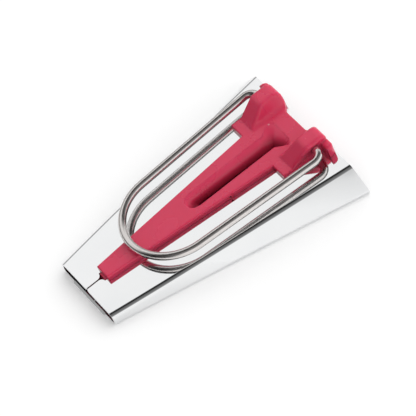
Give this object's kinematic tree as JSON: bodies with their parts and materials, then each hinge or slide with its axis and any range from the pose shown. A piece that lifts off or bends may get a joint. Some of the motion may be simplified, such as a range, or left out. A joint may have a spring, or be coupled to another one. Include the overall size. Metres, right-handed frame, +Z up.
{
  "type": "bias tape maker",
  "caption": "Tapered folded metal channel with a red moulded guide on top and a swinging wire bail handle, for folding fabric strips into bias tape.",
  "frame": {"origin": "centre of the bounding box at its lowest face, the underside of the bottom plate", "axes": "+Y from the narrow tip toward the wide mouth, +X to the right seen from the tip's side with +Z up, +Z up from the bottom plate toward the guide and handle"},
  "size_m": [0.045, 0.0608, 0.0108],
  "materials": {
    "plated_sheet": "mirror polished nickel plate",
    "red_plastic": "glossy crimson moulding",
    "plated_wire": "polished wire"
  },
  "bodies": {
    "folder": {"metal_body": "plated_sheet", "plastic_guide": "red_plastic"},
    "bail": {"wire_handle": "plated_wire"}
  },
  "joints": [
    {"name": "handle_swing", "type": "hinge", "parent": "folder", "child": "bail", "pos_m": [0, 0.02641, 0.00854], "axis": [-1, 0, 0], "range_deg": [0, 120]}
  ]
}
